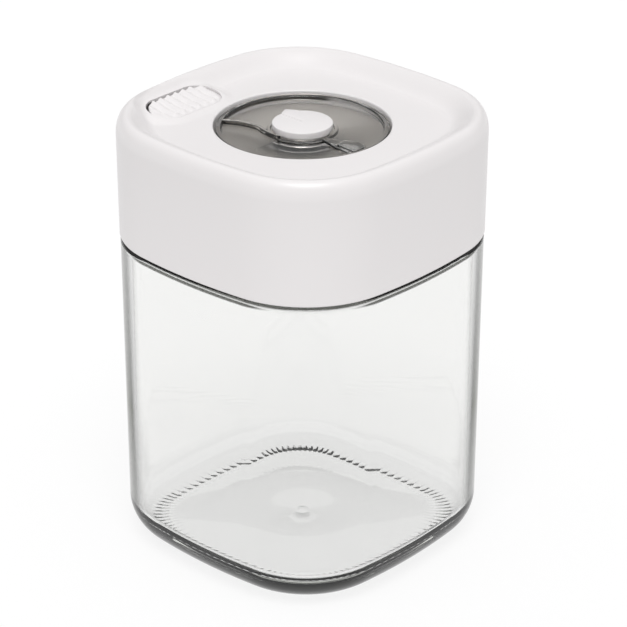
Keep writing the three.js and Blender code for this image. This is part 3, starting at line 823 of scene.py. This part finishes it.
# %% Button
OUTER_GAP = 1
BUTTON_SIZE = (12.2, 26.4)
RIB_PITCH = 3.2
RIB_HEIGHT = 0.7
BUTTON_TOP = 139
END_SHIFT = 0.25                     # the button lies nearer the far end of its opening
button_middle = Vector((
    BUTTON.x - OPENING[0] / 2 + OUTER_GAP + BUTTON_SIZE[0] / 2, BUTTON.y + END_SHIFT))


def button_height(x, y):
    """The ribs stop short of the edge on the well's side, and run out over the other."""
    across = x - button_middle.x
    out = stadium_distance(BUTTON.x + across, y, *BUTTON_SIZE)
    wave = 0.5 + 0.5 * math.cos(2 * math.pi * (y - BUTTON.y - RIB_PITCH / 2) / RIB_PITCH)
    rib = RIB_HEIGHT * wave**1.3 * ease(-out, 0.1, 0.4 + 1.6 * ease(across, -4, 2))
    groove = 0.35 * (1 - ease(abs(across), 0, 4.5))
    rounding = min(max(1 + out / 0.5, 0), 1)
    edge = 0.4 * (1 - math.sqrt(1 - rounding**2))
    return platform_top(x) - 0.15 + rib - groove - edge


button = stretched(
    bpy.ops.mesh.primitive_grid_add, (BUTTON_SIZE[0] + 0.6, BUTTON_SIZE[1] + 0.6, 1),
    (*button_middle, BUTTON_TOP), x_subdivisions=52, y_subdivisions=112)
button.name = button.data.name = "vent_button_piece"
bpy.ops.object.mode_set(mode="EDIT")
bpy.ops.mesh.select_all(action="SELECT")
bpy.ops.mesh.extrude_region_move(
    TRANSFORM_OT_translate={"value": (0, 0, (DISH_UNDER - 1 - BUTTON_TOP) * MM)})
close_seam()
for point in button.data.vertices:
    place = point.co / MM
    if place.z > BUTTON_TOP - 0.1:
        point.co.z = button_height(place.x, place.y) * MM
cut(button, stadium("outline", *BUTTON_SIZE, 130, 142, button_middle), "INTERSECT")
cut(button, stadium("flange", 14.8, 28.8, 133, 134.5, BUTTON), "UNION")
VALVE = (-31, BUTTON.y)
leg = turned("leg", section((0, 128), (4.2, 128, 0.3), (4.2, 134), (0, 134)), 48, VALVE)
cut(button, leg, "UNION")
cut(button, turned("hole", section((0, 127), (1.7, 127), (1.7, 134.6), (0, 134.6)), 32, VALVE))
smooth(button, 40)
install(button, "vent", "white_plastic", "vent_button")

# %% [markdown]
# ## Dial
# The dial is one clear moulding: a thin disc with a raised rim, a collar round the hub, a
# thin curved vane on one side and a raised tab on the other.

# %% Dial wheel
DIAL_RADIUS = WELL_RADIUS - 0.4
DECK = 135.5
RIM_TOP = 136.7
COLLAR = (9.7, 10.8)

wheel = turned("dial_wheel_piece", section(
    (1.9, 132.7), (8.2, 132.7, 0.3), (8.2, 133.9, 0.4), (DIAL_RADIUS, 133.9, 0.3),
    (DIAL_RADIUS, RIM_TOP, 0.5), (DIAL_RADIUS - 1.9, RIM_TOP, 0.5),
    (DIAL_RADIUS - 1.9, DECK, 0.3), (COLLAR[1], DECK, 0.15),
    (COLLAR[1], 136.1, 0.25), (COLLAR[0], 136.1, 0.2), (COLLAR[0], DECK, 0.2), (3.6, DECK, 0.15),
    (3.6, 134.9), (1.9, 134.9), (1.9, 132.7)), 144)


def bezier(start, pull, end, count):
    """Points of a curve that leaves start towards pull and arrives at end from it."""
    start, pull, end = Vector(start), Vector(pull), Vector(end)
    for k in range(count + 1):
        t = k / count
        yield start * (1 - t) ** 2 + pull * 2 * t * (1 - t) + end * t * t


def wall(name, path, thickness, low, high, bevel):
    """A thin upright wall along a path in plan."""
    piece = draw(name, [Vector((*p, low)) for p in path])
    bpy.ops.mesh.extrude_region_move(TRANSFORM_OT_translate={"value": (0, 0, (high - low) * MM)})
    bpy.ops.object.mode_set(mode="OBJECT")
    modify(piece, "SOLIDIFY", thickness=thickness * MM, offset=0)
    modify(piece, "BEVEL", width=bevel * MM, segments=2, limit_method="ANGLE")
    return piece


def slab(name, outline, low, high, bevel):
    """A block with a drawn outline and rounded edges."""
    piece = draw(name, [Vector((*p, low)) for p in outline])
    raise_outline(high - low)
    modify(piece, "BEVEL", width=bevel * MM, segments=3, limit_method="ANGLE",
           angle_limit=math.radians(50))
    return piece


vane_path = [
    *bezier((0, -10.3), (-5.6, -10.2), (-9, -8.8), 8),
    *bezier((-9.6, -8.6), (-13.4, -8.4), (-17.4, -10), 8),
    Vector((-21.8, -12.4)),
]
cut(wheel, wall("vane", vane_path, 1.4, DECK - 0.3, RIM_TOP - 0.05, 0.2), "UNION")
tab_outline = section(
    (10, -2.6), (17, -4.3), (24.9, -4.6), (25.4, 0.4, 0.8), (22.6, 2.9, 1.4), (18.6, 2.8, 1.6),
    (15, 0.7, 0.8), (10, -0.7))
cut(wheel, slab("tab", tab_outline, DECK - 0.3, 136.2, 0.25), "UNION")
pad_outline = section(
    (17, -3.5, 0.5), (24.1, -3.8, 0.5), (24.5, 0.1, 0.7), (22.2, 2.1, 1), (18.8, 1.9, 1.2),
    (16, 0.1, 0.5), (16.2, -2))
cut(wheel, slab("pad", pad_outline, 135.9, 136.7, 0.2), "UNION")
cut(wheel, stretched(bpy.ops.mesh.primitive_cube_add, (7.6, 7.6, 8), (0, 0, 130.2)))
smooth(wheel, 30)
install(wheel, "dial", "clear_plastic", "dial_wheel")

# %% [markdown]
# The white cap is a disc with a small beak that points at the dial's setting. The beak runs
# on as a low wedge that dies out at the centre.

# %% Dial cap
CAP_RADIUS = 9.2
BEAK_ANGLE = math.radians(160)
BEAK_REACH = 11.6
BEAK_SPREAD = math.radians(19)
CAP_BOTTOM = 136
CAP_TOP = 138.2


def polar(radius, angle, z):
    return Vector((radius * math.cos(angle), radius * math.sin(angle), z))


cap = draw("dial_cap_piece", [
    polar(BEAK_REACH, BEAK_ANGLE, CAP_BOTTOM),
    polar(CAP_RADIUS, BEAK_ANGLE + BEAK_SPREAD, CAP_BOTTOM),
])
bpy.ops.mesh.select_all(action="DESELECT")
cage = bmesh.from_edit_mesh(cap.data)
max(cage.verts, key=lambda v: v.co.xy.angle_signed(Vector((1, 0)))).select_set(False)
cage.verts.ensure_lookup_table()
cage.verts[-1].select_set(True)
bmesh.update_edit_mesh(cap.data)
spin(2 * math.pi - 2 * BEAK_SPREAD, 90, (0, 0))
raise_outline(CAP_TOP - CAP_BOTTOM)
modify(cap, "BEVEL", width=0.35 * MM, segments=4, limit_method="ANGLE",
       angle_limit=math.radians(50))
wedge_outline = [
    Vector((0, 0)),
    polar(CAP_RADIUS - 0.3, BEAK_ANGLE - BEAK_SPREAD, 0).xy,
    polar(BEAK_REACH - 0.8, BEAK_ANGLE, 0).xy,
    polar(CAP_RADIUS - 0.3, BEAK_ANGLE + BEAK_SPREAD, 0).xy,
]
cut(cap, slab("wedge", wedge_outline, CAP_BOTTOM + 0.5, CAP_TOP + 0.2, 0.08), "UNION")
cut(cap, turned("cap_rim", section(
    (8.1, CAP_BOTTOM + 0.4), (8.1, 135.8), (8.9, 135.8), (8.9, CAP_BOTTOM + 0.4),
    (8.1, CAP_BOTTOM + 0.4)), 96), "UNION")
smooth(cap, 30)
install(cap, "dial", "white_plastic", "dial_cap")

# %% [markdown]
# ## Metal plate in the well
# A thin turned ring lies on the well's ledge, under the clear dial.

# %% Well plate
plate_low, plate_high = node_box("well_plate")
plate = turned("well_plate_piece", section(
    (6.5, plate_low.z), (plate_high.x, plate_low.z, 0.2), (plate_high.x, plate_high.z, 0.25),
    (6.5, plate_high.z, 0.25), (6.5, plate_low.z)), 144)
smooth(plate, 40)
install(plate, "lid", "grey_metal", "well_plate")

# %% [markdown]
# ## Under the lid
# These pieces show through the glass from the side, and when the lid is lifted off: the
# plug that hangs in the neck, its gasket, the pressure plate, the hub cover and the fixings.

# %% Plug body
def plate_with_hole(name, outer, inner, low, high):
    """A squared piece and a turned piece, bridged across their lower and upper faces."""
    piece = join(name, squared(name, outer, 18), turned("inner", inner, 144))
    bridge(piece, lambda p: abs(p.z - low) < 0.05)
    bridge(piece, lambda p: abs(p.z - high) < 0.05)
    return piece


def drill(piece, places, radius, low, high):
    for place in places:
        outline = section((0, low), (radius, low), (radius, high), (0, high))
        cut(piece, turned("drill", outline, 32, place))


plug_low, plug_high = node_box("plug_body")
plug = plate_with_hole(
    "plug_body_piece",
    section((14.5, 111), (10.2, 111, 0.8), (10.2, 126.6, 0.3), (3.4, 126.6, 0.3),
            (3.4, 128.6, 0.3), (12, 128.6, 0.3), (12, 113.4, 0.8), (14.5, 113.4)),
    section((29, 111), (4.6, 111, 0.3), (4.6, 114.8), (6, 114.8), (6, 128, 0.3), (9, 128, 0.3),
            (9, 113.4, 0.8), (29, 113.4)),
    111, 113.4)
drill(plug, [*POST_PLACES, VALVE], 2, 110, 115)
smooth(plug)
install(plug, "lid", "white_plastic", "plug_body")

# %% Gasket and cushion
gasket_low, gasket_high = node_box("jar_gasket")
gasket = squared("jar_gasket_piece", section(
    (12.4, gasket_low.z), (10.4, gasket_low.z, 0.4), (9.8, 107.5, 4), (10.4, gasket_high.z, 0.4),
    (13.4, gasket_high.z, 0.4), (12.9, 107.5, 4), (13.4, gasket_low.z, 0.4),
    (12.4, gasket_low.z)), 18)
smooth(gasket)
install(gasket, "lid", "silicone", "jar_gasket")
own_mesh(gasket)

cushion = squared("neck_cushion_piece", section(
    (7.7, 125.3), (6.4, 125.3, 0.3), (6.4, 126.3, 0.3), (9, 126.3, 0.3), (9, 125.3, 0.3),
    (7.7, 125.3)), 18)
smooth(cushion)
install(cushion, "lid", "silicone", "neck_cushion")

# %% Pressure plate
GUIDE_PLACES = [(0, 26), (0, -26)]
presser = plate_with_hole(
    "pressure_plate_piece",
    section((14.5, 101.5), (10.2, 101.5, 0.6), (10.2, 104, 0.4), (14.5, 104)),
    section((29, 101.5), (4.5, 101.5, 0.2), (4.5, 104, 0.2), (29, 104)),
    101.5, 104)
drill(presser, GUIDE_PLACES, 2.5, 100, 105)
drill(presser, [VALVE], 3, 100, 105)


def ramp(start):
    """A helical ramp: a small section spun a step at a time, and lowered at each step."""
    line = [(5, 102), (9.5, 102), (9.5, 100.5), (5, 100.5), (5, 102)]
    turn = Matrix.Rotation(start - math.radians(10), 3, "Z")
    piece = draw("ramp", [turn @ Vector((r, 0, z)) for r, z in line])
    bpy.ops.mesh.remove_doubles(threshold=0.002 * MM)
    for k in range(22):
        spin(math.radians(5), 1, (0, 0))
        if k >= 2:
            lower_selected(2.5 / 18)
    bpy.ops.mesh.select_all(action="SELECT")
    bpy.ops.mesh.fill_holes(sides=0)
    close_seam()
    return piece


def lower_selected(drop):
    """Lowers the selected section's bottom points only, so the ramp's top stays level."""
    cage = bmesh.from_edit_mesh(bpy.context.object.data)
    for point in cage.verts:
        if point.select and point.co.z < 101.6 * MM:
            point.co.z -= drop * MM
    bmesh.update_edit_mesh(bpy.context.object.data)


for start in (0, math.pi):
    cut(presser, ramp(start), "UNION")
smooth(presser)
install(presser, "plate", "white_plastic", "pressure_plate")

# %% Hub cover
cover_low, cover_high = node_box("hub_cover")
cover = turned("hub_cover_piece", section(
    (0, cover_low.z), (cover_high.x, cover_low.z, 2.2), (cover_high.x, cover_high.z, 0.2),
    (10.5, cover_high.z, 0.2), (10.5, 93.4, 1), (0, 93.4)), 96)
smooth(cover)
install(cover, "plate", "white_plastic", "hub_cover")

# %% Screws and guide pins
HEAD_LOW, HEAD_TOP = 109.3, 110.7
for i, place in enumerate(POST_PLACES, 1):
    screw = turned(f"shell_screw_{i}_piece", section(
        (0, HEAD_LOW), (2.6, HEAD_LOW, 0.7), (2.6, HEAD_TOP, 0.2), (1.2, HEAD_TOP),
        (1.2, 121.4), (0.6, 121.8), (0, 121.8)), 40, place)
    for size in ((2.6, 0.6), (0.6, 2.6)):
        cut(screw, stretched(bpy.ops.mesh.primitive_cube_add, (*size, 1.4), (*place, HEAD_LOW)))
    smooth(screw)
    install(screw, "lid", "steel", f"shell_screw_{i}")

for i, place in enumerate(GUIDE_PLACES, 1):
    pin = turned(f"guide_pin_{i}_piece", section(
        (0, 100.5), (2, 100.5, 0.5), (2, 112.1, 0.3), (0, 112.1)), 40, place)
    smooth(pin)
    install(pin, "lid", "steel", f"guide_pin_{i}")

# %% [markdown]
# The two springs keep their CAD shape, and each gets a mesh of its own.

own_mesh(frame["nodes"]["plate_spring"])
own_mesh(frame["nodes"]["vent_spring"])
